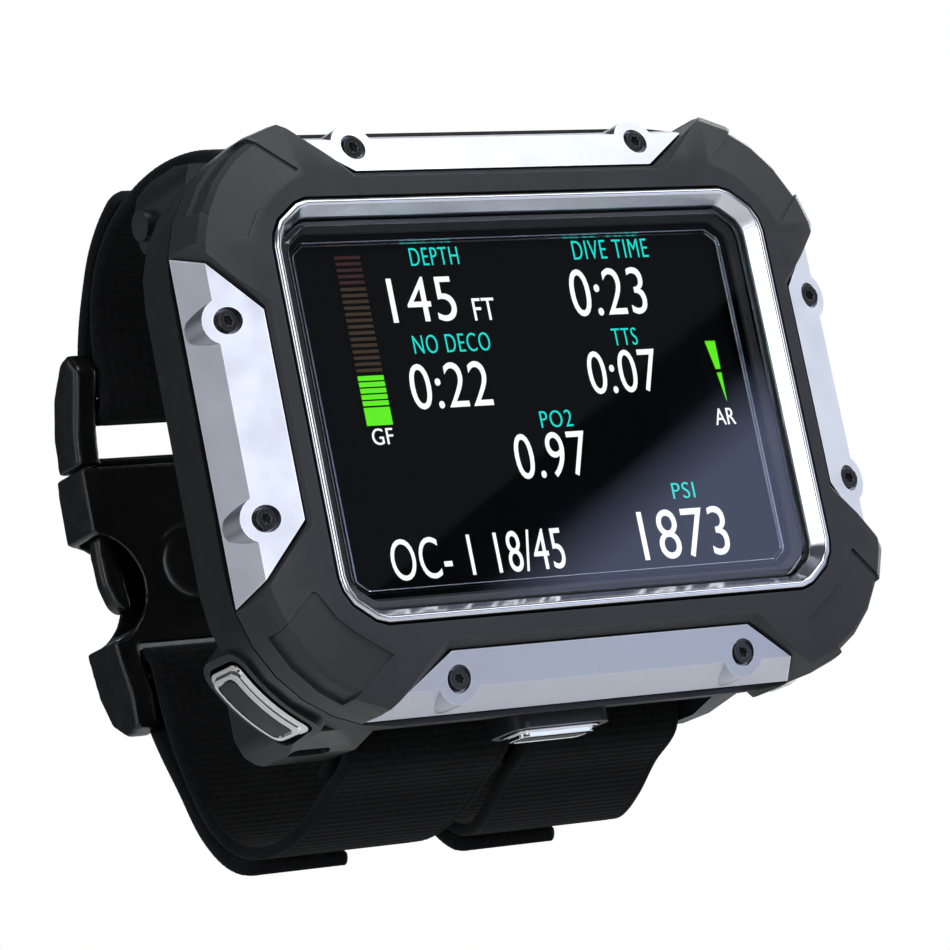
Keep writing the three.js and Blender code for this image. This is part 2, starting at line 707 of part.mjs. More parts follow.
// An E-clip in the stem's groove keeps the button in the case.
function buttonClip(button) {
  const outer = uprightPin(2.9, button.clipAt, button.clipAt + 0.5, 16);
  const hole = uprightPin(STEM_RADIUS - 0.3, button.clipAt - 1, button.clipAt + 2, 12);
  const mouth = box(-0.9, 0.9, 0, 5, button.clipAt - 1, button.clipAt + 2);
  return cut(outer, [hole, mouth]);
}

// The stem's O-ring lies at the foot of the spring well.
function stemSeal() {
  const geometry = new THREE.TorusGeometry(2.1, 0.3, 6, 16);
  geometry.translate(0, 0, WELL_FLOOR - 0.35);
  return solid(geometry);
}

// The return spring, drawn at its pressed length.
function returnSpring() {
  class Coil extends THREE.Curve {
    getPoint(t, target = new THREE.Vector3()) {
      const angle = t * 1.75 * 2 * Math.PI;
      return target.set(3 * Math.cos(angle), 3 * Math.sin(angle), WELL_FLOOR - 0.4 - t * 1.1);
    }
  }
  const wire = shapeFrom(roundedBox(0.24, 0.24, 0.23, 1));
  return solid(new THREE.ExtrudeGeometry(wire, { steps: 24, extrudePath: new Coil() }));
}

// The tact switch that a stem presses stands on the board.
function tactSwitch(button) {
  const body = box(-3, 3, 8.3 - button.depth, 2, STEM_END + BUTTON_TRAVEL + GAP, STEM_END + 4);
  return atButton(button, body);
}

// ---- Straps ------------------------------------------------------------------------------------

// The middle line of each webbing run, from its case bar to its buckle bar, as depth and height.
const wrapAtCase = BAR_RADIUS + 0.35 + WEBBING_THICKNESS / 2;
const wrapAtBuckle = BUCKLE_BAR_RADIUS + 0.35 + WEBBING_THICKNESS / 2;
const UPPER_RUN = [
  [BAR_DEPTH - wrapAtCase, BAR_HEIGHT], [22.8, 39.8], [26.8, 42.1], [32.6, 43.6], [38.6, 43.6],
  [44.2, 42], [49.2, 39.3], [53.4, 36], [56.4, 31.8], [58.2, 26.6], [MALE_BAR[0] - wrapAtBuckle, MALE_BAR[1]],
];
const LOWER_RUN = [
  [BAR_DEPTH - wrapAtCase, -BAR_HEIGHT], [23, -39.2], [28.6, -41.9], [34.9, -45.1], [41.6, -46.6],
  [47.6, -44.9], [52, -40.8], [54.8, -35.4], [56.9, -29.3], [58, -23.6],
  [FEMALE_BAR[0] - wrapAtBuckle, FEMALE_BAR[1]],
];

// Points round a bar centre, from the side facing the case, through the given side, to the far side.
function wrapArc(centre, radius, through, steps) {
  const points = [];
  for (let i = 1; i < steps; i += 1) {
    const angle = Math.PI - i * Math.PI / steps;
    points.push([centre[0] + radius * Math.cos(angle), centre[1] + through * radius * Math.sin(angle)]);
  }
  return points;
}

// Shifts a line sideways by an amount that may vary along it (0 at its start, 1 at its end).
function offsetLine(line, amountAt) {
  return line.map((point, i) => {
    const before = line[Math.max(i - 1, 0)];
    const after = line[Math.min(i + 1, line.length - 1)];
    const along = new THREE.Vector2(after[0] - before[0], after[1] - before[1]).normalize();
    const amount = amountAt(i / (line.length - 1));
    return [point[0] + along.y * amount, point[1] - along.x * amount];
  });
}

// The closed outline of a band of the webbing's thickness round a middle line.
function bandOutline(line) {
  const left = offsetLine(line, () => WEBBING_THICKNESS / 2);
  const right = offsetLine(line, () => -WEBBING_THICKNESS / 2);
  return [...left, ...right.reverse()];
}

function smooth(t) {
  const clamped = Math.min(Math.max(t, 0), 1);
  return clamped * clamped * (3 - 2 * clamped);
}

// Webbing sewn back on itself at the case bar, run to the buckle bar, wrapped round it and brought
// back outside as the free tail. signZ is 1 for the upper half and -1 for the lower half.
function webbing(run, caseBar, buckleBar, signZ, side, tailShare) {
  const places = run.map(([depth, z]) => new THREE.Vector3(depth, z, 0));
  const curve = new THREE.CatmullRomCurve3(places, false, 'centripetal');
  const samples = curve.getSpacedPoints(RUN_STEPS).map((p) => [p.x, p.y]);
  const toArm = signZ;
  const flapGap = (t) => {
    const start = 2 * wrapAtCase;
    return toArm * (start + (PLY_PITCH - start) * smooth((t - 0.25) / 0.7));
  };
  const flap = offsetLine(samples.slice(0, FLAP_STEPS + 1), flapGap).slice(1).reverse();
  const tailStart = Math.round((1 - tailShare) * (samples.length - 1));
  const tailGap = (t) => {
    const end = 2 * wrapAtBuckle;
    return -toArm * (PLY_PITCH + (end - PLY_PITCH) * smooth((t - 0.45) / 0.55));
  };
  const tail = offsetLine(samples.slice(tailStart), tailGap).reverse();
  const caseWrap = wrapArc(caseBar, wrapAtCase, -signZ, 8).reverse();
  const buckleWrap = wrapArc(buckleBar, wrapAtBuckle, -signZ, 8);
  const half = WEBBING_WIDTH / 2;
  const sewnEnd = rail(bandOutline([...flap, ...caseWrap.slice(0, 2)]), -half, half);
  const loop = rail(bandOutline([...caseWrap, ...samples, ...buckleWrap]), -half, half);
  const turn = rail(bandOutline([...buckleWrap.slice(-2), tail[0], tail[1]]), -half, half);
  const freeTail = rail(bandOutline(tail), -half, half - TAIL_NARROWER);
  return splay(joined([sewnEnd, loop, turn, freeTail]), side);
}

// Carries a strap sideways from its place at the case to its place at the buckle.
function splay(body, side) {
  return body.warp((point) => {
    const share = smooth((point[1] - SPLAY_START) / (SPLAY_END - SPLAY_START));
    point[0] += side * (STRAP_X_AT_CASE + (STRAP_X_AT_BUCKLE - STRAP_X_AT_CASE) * share);
  });
}

// ---- Buckles, centred on their strap -----------------------------------------------------------

// The half that the lower strap ends in: a socket with a round window at each side, where the
// prongs are pinched, and a bar between two rails for the webbing.
function femaleBuckle() {
  const profile = [
    [PANEL_DEPTH, MOUTH_HEIGHT], [68, MOUTH_HEIGHT], [68.3, 3.6], [68.4, -13.5], [67.2, -20], [65.2, -24.3],
    [61.6, -26.6], [58.4, -25.8], [58.2, -21.5], [59.6, -16.5], [PANEL_DEPTH, -12],
  ];
  const body = rail(profile, -BUCKLE_HALF_WIDTH, BUCKLE_HALF_WIDTH);
  const ring = depthPin(RING_X, RING_Z, 5.3, PANEL_DEPTH - 0.35, PANEL_DEPTH + 0.2, 36)
    .subtract(depthPin(RING_X, RING_Z, 4.5, 50, 70, 36));
  const webbingSlot = box(-RAIL_INNER, RAIL_INNER, 50, 80, -40, FEMALE_BAR[1] + wrapAtBuckle + 1.4);
  const cavity = box(-15, 15, 61.1, 67.4, -12, MOUTH_HEIGHT + 5);
  const windows = [-17.5, 17.5].map((x) => depthPin(x, -6.3, 7.5, 50, 80, 36));
  const bar = crossPin(FEMALE_BAR[0], FEMALE_BAR[1], BUCKLE_BAR_RADIUS, -RAIL_INNER - 1, RAIL_INNER + 1, 16);
  return joined([cut(body, [webbingSlot, cavity, ...windows]), bar, ring]);
}

// The half that the upper strap ends in: two rails with a bar for the webbing, a bridge that closes
// the socket and a tongue that guides it.
function maleBuckle() {
  const bottom = MOUTH_HEIGHT + GAP;
  const profile = [
    [60.9, bottom], [67.3, bottom], [66.8, 15.8], [65, 20.8], [61.6, 24.9],
    [59.2, 25.4], [57.2, 22.6], [58.6, 19], [60.2, 15],
  ];
  const body = rail(profile, -BUCKLE_HALF_WIDTH, BUCKLE_HALF_WIDTH);
  const webbingSlot = box(-RAIL_INNER, RAIL_INNER, 50, 80, bottom - 1, 40);
  const bar = crossPin(MALE_BAR[0], MALE_BAR[1], BUCKLE_BAR_RADIUS, -RAIL_INNER - 1, RAIL_INNER + 1, 16);
  const bridge = box(-RAIL_INNER - 1, RAIL_INNER + 1, 62.6, 66, bottom, bottom + 1.4);
  const tongue = box(-4.5, 4.5, 62.9, 65.7, -1, bottom + 1);
  return cut(body, [webbingSlot]).add(bar).add(bridge).add(tongue);
}

// One springy arm of the male half, for the +x side.
function buckleProng() {
  const outline = [
    [11.9, MOUTH_HEIGHT - 0.1], [14.3, MOUTH_HEIGHT - 0.1], [14.3, 4], [14.7, -1], [14.6, -5],
    [13.6, -8.4], [12.2, -9.5], [11, -9.1], [11.3, -5], [11.9, 0],
  ];
  return slab(outline.reverse(), 62.7, 65.9);
}

// ---- Assembly ----------------------------------------------------------------------------------

const computer = new THREE.Group();
computer.position.y = -REAR_DEPTH;

computer.add(piece('rear_case', rearCase(), CASE_BLACK));
computer.add(piece('front_bumper', frontBumper(), CHARCOAL));
computer.add(piece('bezel_ring', bezelRing(), CHROME));
computer.add(piece('lens_glass', lensGlass(), GLASS));
computer.add(piece('lens_gasket', lensGasket(), RUBBER));
computer.add(piece('display_mask', displayMask(), SCREEN));
computer.add(piece('display_panel', displayPanel(), SCREEN));
computer.add(piece('display_carrier', displayCarrier(), CASE_BLACK));
computer.add(piece('main_seal', mainSeal(), RUBBER));
computer.add(piece('main_board', mainBoard(), BOARD_GREEN));
computer.add(piece('battery_cell', batteryCell(), CELL_GREY));
computer.add(piece('receiver_coil', receiverCoil(), STEEL));
computer.add(piece('depth_sensor', depthSensor(), STEEL));
computer.add(piece('sensor_cover', sensorCover(), STEEL));
computer.add(piece('charge_contact_left', chargeContact(CONTACT_XS[0]), GOLD));
computer.add(piece('charge_contact_right', chargeContact(CONTACT_XS[1]), GOLD));
computer.add(piece('strap_bar_top', strapBar(1), STEEL));
computer.add(piece('strap_bar_bottom', strapBar(-1), STEEL));

for (const side of SIDES) {
  const plate = piece(`${side.name}_plate`, framePlate(side.size, side.screwX), ALUMINIUM);
  plate.rotation.y = side.turn * Math.PI / 180;
  computer.add(plate);
}

for (const { name, x, z } of SCREW_PLACES) {
  computer.add(piece(`screw_${name}`, screw(x, z), BLACK_STEEL));
}

for (const button of BUTTONS) {
  const holder = new THREE.Group();
  holder.position.set(button.x, button.depth, button.z);
  holder.rotation.y = button.turn * Math.PI / 180;
  holder.add(piece(`button_${button.name}_cap`, buttonCap(button), CHROME));
  holder.add(piece(`button_${button.name}_insert`, buttonInsert(button), CASE_BLACK));
  holder.add(piece(`button_${button.name}_stem`, buttonStem(button), STEEL));
  holder.add(piece(`button_${button.name}_clip`, buttonClip(button), STEEL));
  holder.add(piece(`button_${button.name}_spring`, returnSpring(), STEEL));
  holder.add(piece(`button_${button.name}_seal`, stemSeal(), RUBBER));
  computer.add(holder);
}

const caseBars = { upper: [BAR_DEPTH, BAR_HEIGHT], lower: [BAR_DEPTH, -BAR_HEIGHT] };
for (const [name, side] of [['left', -1], ['right', 1]]) {
  const upper = webbing(UPPER_RUN, caseBars.upper, MALE_BAR, 1, side, 0.5);
  const lower = webbing(LOWER_RUN, caseBars.lower, FEMALE_BAR, -1, side, 0.55);
  computer.add(piece(`strap_${name}_upper_webbing`, upper, WEBBING));
  computer.add(piece(`strap_${name}_lower_webbing`, lower, WEBBING));
  const buckle = new THREE.Group();
  buckle.position.x = side * STRAP_X_AT_BUCKLE;
  buckle.add(piece(`buckle_${name}_female`, femaleBuckle(), BUCKLE_BLACK));
  buckle.add(piece(`buckle_${name}_male`, maleBuckle(), BUCKLE_BLACK));
  const farProng = piece(`buckle_${name}_prong_right`, buckleProng(), BUCKLE_BLACK);
  const nearProng = piece(`buckle_${name}_prong_left`, buckleProng().mirror([1, 0, 0]), BUCKLE_BLACK);
  buckle.add(farProng, nearProng);
  computer.add(buckle);
}

const group = new THREE.Group();
group.add(computer);
export default group;
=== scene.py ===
# Looks of the wrist dive computer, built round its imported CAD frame.
# Blender units are metres; lengths below are millimetres unless they end in _M.

import json
import math

import bmesh
import bpy
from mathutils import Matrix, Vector


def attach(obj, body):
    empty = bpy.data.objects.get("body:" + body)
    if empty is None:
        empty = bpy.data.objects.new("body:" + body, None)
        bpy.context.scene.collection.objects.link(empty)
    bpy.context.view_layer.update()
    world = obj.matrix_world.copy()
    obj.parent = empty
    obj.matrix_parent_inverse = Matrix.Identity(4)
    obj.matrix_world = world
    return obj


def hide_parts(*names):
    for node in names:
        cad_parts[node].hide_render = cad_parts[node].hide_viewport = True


MM = 0.001

# ---- Camera: a long lens from the lower left ----
CAMERA_AT = (-364.15, -521.2, -127.2)
CAMERA_TURN = (101.1996, 11.2073, -32.8771)
CAMERA_LENS = 189.23
CAMERA_SENSOR = 36.0
CAMERA_CLIP_M = (0.02, 20.0)

# ---- Case: points are (x, depth, z), depth growing towards the arm ----
REAR_DEPTH = 22.0               # the rear face lies this far behind the screw rims, at depth 0
BEZEL_CORNER = ((37.8, 20.9), (37.45, 22.6), (36.4, 24.4), (33.6, 26.5), (31.9, 27.05))

# ---- Rounded edges of the CAD nodes ----
EDGE_RADIUS = {
    "rear_case": 0.5,
    "front_bumper": 0.6,
    "bezel_ring": 0.3,
    "lens_glass": 0.08,
    "top_plate": 0.32,
    "right_plate": 0.32,
    "bottom_plate": 0.32,
    "left_plate": 0.32,
}
SMALL_EDGE = 0.12
EDGE_SEGMENTS = 3
COPLANAR_DEGREES = 0.5
SHARP_DEGREES = 24
WELD_M = 1e-6
MELT_CELL = 0.32                # the buckles' even skin, before it is relaxed
MELT_FACTOR = 0.6
SOCKET_PASSES = 10
PLUG_PASSES = 30

# ---- Straps: runs are (depth, z) from the case bar to the buckle bar ----
BAR_DEPTH = 23.5
BAR_HEIGHT = 36.0
BAR_RADIUS = 1.0
BUCKLE_BAR_RADIUS = 1.2
MALE_BAR = (61.2, 19.2)
FEMALE_BAR = (60.9, -18.2)
WEBBING_WIDTH = 25.0
WEBBING_THICKNESS = 1.7
WRAP_CLEARANCE = 0.4
WRAP_AT_CASE = BAR_RADIUS + WRAP_CLEARANCE + WEBBING_THICKNESS / 2
WRAP_AT_BUCKLE = BUCKLE_BAR_RADIUS + WRAP_CLEARANCE + WEBBING_THICKNESS / 2
UPPER_RUN = [
    (BAR_DEPTH - WRAP_AT_CASE, BAR_HEIGHT), (22.8, 39.8), (26.8, 42.1), (32.6, 43.6), (38.6, 43.6),
    (44.2, 42), (49.2, 39.3), (53.4, 36), (56.4, 31.8), (58.2, 26.6),
    (MALE_BAR[0] - WRAP_AT_BUCKLE, MALE_BAR[1]),
]
LOWER_RUN = [
    (BAR_DEPTH - WRAP_AT_CASE, -BAR_HEIGHT), (23, -39.2), (28.6, -41.9), (34.9, -45.1), (41.6, -46.6),
    (47.6, -44.9), (52, -40.8), (54.8, -35.4), (56.9, -29.3), (58, -23.6),
    (FEMALE_BAR[0] - WRAP_AT_BUCKLE, FEMALE_BAR[1]),
]
PLY_PITCH = 2.2
SEWN_SHARE = 4.6 / 28
FLAP_CLOSES = (0.25, 0.7)       # share of the sewn end where it starts to close up, and over what share
TAIL_OPENS = (0.45, 0.55)       # the same for the free tail, which opens towards the buckle
UPPER_TAIL_SHARE = 0.5
LOWER_TAIL_SHARE = 0.55
TAIL_NARROWER = 8.5
TAIL_NARROWS_OVER = 5.0
TAIL_CORNER = 2.0
STRAP_X_AT_CASE = 13.5
STRAP_X_AT_BUCKLE = 17.0
SPLAY_START = 27.0
SPLAY_END = 52.0
RUN_STEP = 0.4
WRAP_STEPS = 14
RIB_PITCH = 1.0
RIB_HEIGHT = 0.04
STEPS_PER_RIB = 6
EDGE_ROUND = 0.55               # radius of the band's rounded edges
CORD_STOPS = (1.0, 1.35)        # section points on the edge cord, measured from the edge
FLAT_FROM = 1.7                 # the flat middle of the section starts here
FLAT_STRIPS = 22
GROOVE = (1.2, 1.5)             # a shallow groove sets the cord off from the ribs
GROOVE_DEPTH = 0.1
CORD_RIB_SHARE = 0.35
END_TAPER = 0.75

# ---- Display: each text has its x and z range; depths are of its front and back ----
READ_OUT_FRONT = 2.42
READ_OUT_BACK = 2.52
LABELS = (
    ("DEPTH", (-15.0, -7.7), (19.3, 21.6)),
    ("DIVE TIME", (10.2, 22.1), (19.3, 21.8)),
    ("NO DECO", (-17.1, -5.5), (7.8, 10.2)),
    ("TTS", (13.6, 17.5), (7.6, 9.9)),
    ("PO2", (-0.2, 4.7), (-2.7, -0.5)),
    ("PSI", (18.0, 21.5), (-13.1, -11.0)),
)
VALUES = (
    ("145", (-19.3, -9.5), (11.9, 17.8)),
    ("FT", (-7.0, -3.7), (11.8, 14.7)),
    ("0:23", (8.5, 20.3), (11.7, 18.0)),
    ("0:22", (-18.8, -6.8), (0.6, 6.5)),
    ("0:07", (8.7, 19.7), (1.3, 7.0)),
    ("0.97", (-5.2, 6.0), (-9.2, -3.3)),
    ("1873", (11.6, 25.4), (-20.9, -14.4)),
    ("OC- 1 18/45", (-26.7, -0.7), (-21.0, -15.7)),
    ("GF", (-25.9, -22.8), (-3.6, -1.5)),
    ("AR", (27.3, 30.5), (-3.7, -1.5)),
)
LABEL_WEIGHT, LABEL_SPACING = -0.012, 1.12
VALUE_WEIGHT, VALUE_SPACING = -0.004, 1.04
BAR_X = (-26.3, -22.5)
BAR_PITCH = 0.81
GREEN_BLOCK = (-1.1, 1.2)
GREEN_BARS = (1.45, 0.6, 5)     # foot of the first bar, height of a bar, number of bars
AMBER_BARS = (5.8, 0.4, 14)
RED_BARS = (17.2, 0.4, 5)
ASCENT_WEDGES = (
    ((28.2, 7.6), (29.05, 3.8), (29.8, 3.8), (29.8, 7.6)),
    ((29.1, 3.3), (29.75, -0.5), (29.8, 3.3)),
)
WINDOW_LIPS = (4.55, 4.95)      # two lips, this far inside the bezel's outline
WINDOW_LIP_WIDTH = 0.22
MASK_FACE = 1.78
LENS_IOR = 1.76

# ---- Studio, in metres: everything is aimed at the origin ----
# name, place, size, watts, colour, lights matt surfaces only
LAMPS = (
    ("key_above", (0.1, -0.5, 0.75), (0.7, 0.5), 4.2, (1, 1, 1), False),
    ("fill_left", (-0.9, -0.35, 0.1), (0.5, 0.8), 1.1, (0.95, 0.97, 1.0), False),
    ("fill_low", (-0.95, -0.4, -0.05), (0.5, 0.5), 5.0, (0.93, 0.96, 1.0), True),
    ("fill_front", (0.45, -0.8, 0.5), (0.5, 0.5), 2.3, (0.93, 0.96, 1.0), True),
    ("fill_back", (0.75, 0.8, 0.4), (0.7, 0.7), 2.6, (0.96, 0.98, 1.0), False),
    ("rim_right", (0.7, 0.2, 0.3), (0.3, 0.6), 3.0, (1, 1, 1), False),
)
# Cards are mirrored in shiny surfaces only: name, direction, size, radiance, colour
CARDS = (
    ("card_left_plate", (-0.06, -0.96, 0.19), (0.42, 0.42), 2.5, (0.95, 0.96, 1.0)),
    ("card_top_plate", (0.56, -0.6, 0.565), (0.5, 0.3), 2.0, (1, 1, 1)),
    ("card_bottom_plate", (0.56, -0.79, -0.3), (0.5, 0.3), 0.2, (0.81, 0.88, 1.0)),
    ("card_right_plate", (0.934, -0.27, 0.19), (0.3, 0.5), 1.6, (0.93, 0.96, 1.0)),
    ("card_left_leg", (-0.83, 0.52, 0.19), (0.5, 0.6), 0.82, (1, 1, 1)),
)
BEZEL_CARD = ("card_bezel", (-0.91, -0.36, 0.15), (0.3, 0.35), 2.2, (1, 1, 1))
BUCKLE_STRIP = ("strip_buckles", (-0.96, -0.16, 0.2), (0.1, 0.7), 5.0, (1, 1, 1))
CARD_DISTANCE = 0.9
LENS_CARD_AT = (0.434, -0.524, -0.016)
LENS_CARD_SIZE = 0.3
LENS_CARD_TILT = 29.0
LENS_CARD_RADIANCE = 1.25
LENS_CARD_COLOUR = (0.74, 0.84, 1.2)
LENS_CARD_FADE = (0.117, 0.134)  # the card's glow ends between these heights
FLOOR_HEIGHT = -0.24
FLOOR_SIZE = 6.0
FLOOR_GLOW = 0.55
WORLD_FILL = 0.07
WORLD_COLOUR = (0.9, 0.94, 1.0, 1.0)

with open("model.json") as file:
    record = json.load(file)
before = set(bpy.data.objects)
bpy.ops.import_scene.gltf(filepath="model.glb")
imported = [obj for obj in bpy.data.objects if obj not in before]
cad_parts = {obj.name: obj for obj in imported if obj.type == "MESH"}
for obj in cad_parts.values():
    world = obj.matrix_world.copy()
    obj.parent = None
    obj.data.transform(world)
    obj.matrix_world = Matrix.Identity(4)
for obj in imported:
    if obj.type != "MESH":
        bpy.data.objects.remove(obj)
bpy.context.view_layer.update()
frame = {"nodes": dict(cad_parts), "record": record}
nodes = frame["nodes"]


# ---- Node helpers ------------------------------------------------------------------------------

class Shader:
    """A material's node tree, with short calls for the nodes used here."""

    def __init__(self, name):
        self.material = bpy.data.materials.new(name)
        self.material.use_nodes = True
        self.tree = self.material.node_tree
        self.tree.nodes.clear()
        self.output = self.tree.nodes.new("ShaderNodeOutputMaterial")
        self.skin = self.tree.nodes.new("ShaderNodeBsdfPrincipled")
        self.link(self.skin.outputs[0], self.output.inputs["Surface"])
        self.place = self.tree.nodes.new("ShaderNodeTexCoord").outputs["Object"]

    def link(self, source, target):
        self.tree.links.new(source, target)

    def set(self, socket, value):
        if isinstance(value, bpy.types.NodeSocket):
            self.link(value, socket)
        elif isinstance(value, (tuple, list)) and len(value) == 3 and len(socket.default_value) == 4:
            socket.default_value = (*value, 1.0)
        else:
            socket.default_value = value

    def look(self, **values):
        for key, value in values.items():
            self.set(self.skin.inputs[key.replace("_", " ")], value)

    def scaled(self, x, y, z, source=None):
        node = self.tree.nodes.new("ShaderNodeMapping")
        node.inputs["Scale"].default_value = (x, y, z)
        self.link(source or self.place, node.inputs["Vector"])
        return node.outputs[0]

    def noise(self, per_mm, detail=3.0, vector=None, roughness=0.55):
        node = self.tree.nodes.new("ShaderNodeTexNoise")
        node.inputs["Scale"].default_value = per_mm * 1000
        node.inputs["Detail"].default_value = detail
        node.inputs["Roughness"].default_value = roughness
        self.link(vector or self.place, node.inputs["Vector"])
        return node.outputs[0]

    def wave(self, direction, per_mm):
        """Soft stripes, this many to the millimetre."""
        node = self.tree.nodes.new("ShaderNodeTexWave")
        node.bands_direction = direction
        stripes_per_unit = math.pi / 10
        node.inputs["Scale"].default_value = per_mm * 1000 * stripes_per_unit
        self.link(self.place, node.inputs["Vector"])
        return node.outputs[1]

    def ramp(self, source, low, high, from_low=0.3, from_high=0.7):
        node = self.tree.nodes.new("ShaderNodeMapRange")
        self.set(node.inputs["Value"], source)
        node.inputs["From Min"].default_value = from_low
        node.inputs["From Max"].default_value = from_high
        node.inputs["To Min"].default_value = low
        node.inputs["To Max"].default_value = high
        return node.outputs[0]

    def mix(self, share, a, b):
        node = self.tree.nodes.new("ShaderNodeMix")
        node.data_type = "RGBA"
        self.set(node.inputs["Factor"], share)
        self.set(node.inputs["A"], a)
        self.set(node.inputs["B"], b)
        return node.outputs["Result"]

    def sum(self, a, b, operation="ADD"):
        node = self.tree.nodes.new("ShaderNodeMath")
        node.operation = operation
        self.set(node.inputs[0], a)
        self.set(node.inputs[1], b)
        return node.outputs[0]

    def bump(self, height, strength, distance_mm):
        node = self.tree.nodes.new("ShaderNodeBump")
        node.inputs["Strength"].default_value = strength
        node.inputs["Distance"].default_value = distance_mm * MM
        self.link(height, node.inputs["Height"])
        return node.outputs[0]

    def edge(self, radius_mm, sharp_dot=0.86, flat_dot=0.995):
        """0 on flat stretches, rising to 1 where the surface turns sharply within the radius."""
        bevel = self.tree.nodes.new("ShaderNodeBevel")
        bevel.samples = 4
        bevel.inputs["Radius"].default_value = radius_mm * MM
        geometry = self.tree.nodes.new("ShaderNodeNewGeometry")
        dot = self.tree.nodes.new("ShaderNodeVectorMath")
        dot.operation = "DOT_PRODUCT"
        self.link(bevel.outputs[0], dot.inputs[0])
        self.link(geometry.outputs["Normal"], dot.inputs[1])
        return self.ramp(dot.outputs["Value"], 1.0, 0.0, sharp_dot, flat_dot)


def moulded_plastic(name, colour, worn, roughness, grain_per_mm=4.0, grain=0.35):
    """Spark-eroded mould texture: fine grain, uneven gloss, and lighter rubbed edges."""
    s = Shader(name)
    cloud = s.noise(0.08, 4.0)
    rubbed = s.edge(0.5)
    scuff = s.sum(rubbed, s.ramp(s.noise(0.9, 5.0), 0.1, 0.8), "MULTIPLY")
    tone = s.mix(s.ramp(cloud, 0.0, 1.0), colour, [c * 1.18 for c in colour])
    s.look(Base_Color=s.mix(scuff, tone, worn))
    gloss = s.ramp(s.noise(0.35, 3.0), roughness - 0.05, roughness + 0.06)
    s.look(Roughness=s.sum(gloss, s.sum(scuff, -0.1, "MULTIPLY")))
    s.look(Normal=s.bump(s.noise(grain_per_mm, 2.0), grain, 0.03))
    s.look(Specular_IOR_Level=0.5)
    return s.material


def blasted_metal(name, colour, roughness):
    """Bead-blasted, anodised aluminium with brighter rubbed edges."""
    s = Shader(name)
    rubbed = s.edge(0.25)
    speckle = s.noise(7.0, 2.0)
    tone = s.mix(s.ramp(speckle, 0.0, 1.0), [c * 0.93 for c in colour], colour)
    s.look(Base_Color=s.mix(s.sum(rubbed, 0.6, "MULTIPLY"), tone, (0.9, 0.91, 0.93)))
    s.look(Metallic=1.0)
    cloud = s.ramp(s.noise(0.2, 3.0), roughness - 0.03, roughness + 0.04)
    s.look(Roughness=cloud)
    s.look(Normal=s.bump(speckle, 0.18, 0.02))
    return s.material


def polished_metal(name, colour, roughness, brush=0.0):
    """Plated or polished metal with faint hairlines and finger marks."""
    s = Shader(name)
    hair = s.noise(9.0, 2.0, s.scaled(0.06, 1.0, 1.0))
    marks = s.noise(0.25, 5.0)
    s.look(Base_Color=s.mix(s.ramp(marks, 0.0, 1.0), colour, [c * 0.94 for c in colour]))
    s.look(Metallic=1.0)
    smears = s.ramp(marks, roughness * 0.7, roughness * 1.5)
    s.look(Roughness=s.sum(smears, s.ramp(hair, 0.0, 0.02 + brush)))
    s.look(Normal=s.bump(hair, 0.02 + brush, 0.01))
    return s.material


def webbing_cloth(name):
    """Ribbed polyester: yarns cross the ribs, with fuzz at grazing angles and a little dust."""
    s = Shader(name)
    yarn = s.noise(3.2, 3.0, s.scaled(0.35, 1.0, 1.0))
    columns = s.wave("X", 0.75)
    fibre = s.noise(11.0, 3.0)
    dust = s.ramp(s.noise(0.12, 5.0), 0.0, 1.0, 0.45, 0.75)
    weave = s.sum(s.sum(yarn, 0.92, "MULTIPLY"), s.sum(columns, 0.08, "MULTIPLY"))
    tone = s.mix(s.ramp(weave, 0.0, 1.0), (0.0032, 0.0033, 0.0037), (0.0125, 0.0127, 0.0137))
    s.look(Base_Color=s.mix(s.sum(dust, 0.3, "MULTIPLY"), tone, (0.02, 0.02, 0.021)))
    s.look(Roughness=s.ramp(fibre, 0.8, 0.95))
    s.look(Sheen_Weight=0.05, Sheen_Roughness=0.5)
    s.look(Normal=s.bump(s.sum(weave, s.sum(fibre, 0.5, "MULTIPLY")), 0.6, 0.08))
    s.look(Specular_IOR_Level=0.1)
    return s.material


def rubber(name):
    """Matt black rubber of seals and O-rings."""
    s = Shader(name)
    fine = s.noise(5.0, 2.0)
    cloud = s.ramp(s.noise(0.4), 0.0, 1.0)
    s.look(Base_Color=s.mix(cloud, (0.012, 0.012, 0.012), (0.022, 0.022, 0.022)))
    s.look(Roughness=s.ramp(fine, 0.6, 0.8))
    s.look(Normal=s.bump(fine, 0.2, 0.02))
    return s.material


def lens_glass(name):
    """Clear coated lens: it lets the display through and mirrors the studio on its outer side."""
    s = Shader(name)
    tree = s.tree
    clear = tree.nodes.new("ShaderNodeBsdfTransparent")
    clear.inputs[0].default_value = (0.93, 0.94, 0.95, 1)
    mirror = tree.nodes.new("ShaderNodeBsdfGlossy")
    s.set(mirror.inputs["Color"], (0.86, 0.9, 1.0))
    s.set(mirror.inputs["Roughness"], s.ramp(s.noise(0.06, 4.0), 0.015, 0.05))
    fresnel = tree.nodes.new("ShaderNodeFresnel")
    fresnel.inputs["IOR"].default_value = LENS_IOR
    sides = tree.nodes.new("ShaderNodeNewGeometry")
    outer = s.sum(1.0, sides.outputs["Backfacing"], "SUBTRACT")
    join = tree.nodes.new("ShaderNodeMixShader")
    s.link(s.sum(fresnel.outputs[0], outer, "MULTIPLY"), join.inputs[0])
    s.link(clear.outputs[0], join.inputs[1])
    s.link(mirror.outputs[0], join.inputs[2])
    s.link(join.outputs[0], s.output.inputs["Surface"])
    tree.nodes.remove(s.skin)
    return s.material


def screen_black(name, roughness=0.35):
    """The unlit display and its printed surround."""
    s = Shader(name)
    speck = s.noise(2.0, 3.0)
    s.look(Base_Color=s.mix(s.ramp(speck, 0.0, 1.0), (0.0008, 0.0008, 0.001), (0.0016, 0.0016, 0.002)))
    s.look(Roughness=s.ramp(speck, roughness - 0.05, roughness + 0.05))
    s.look(Specular_IOR_Level=0.05)
    return s.material


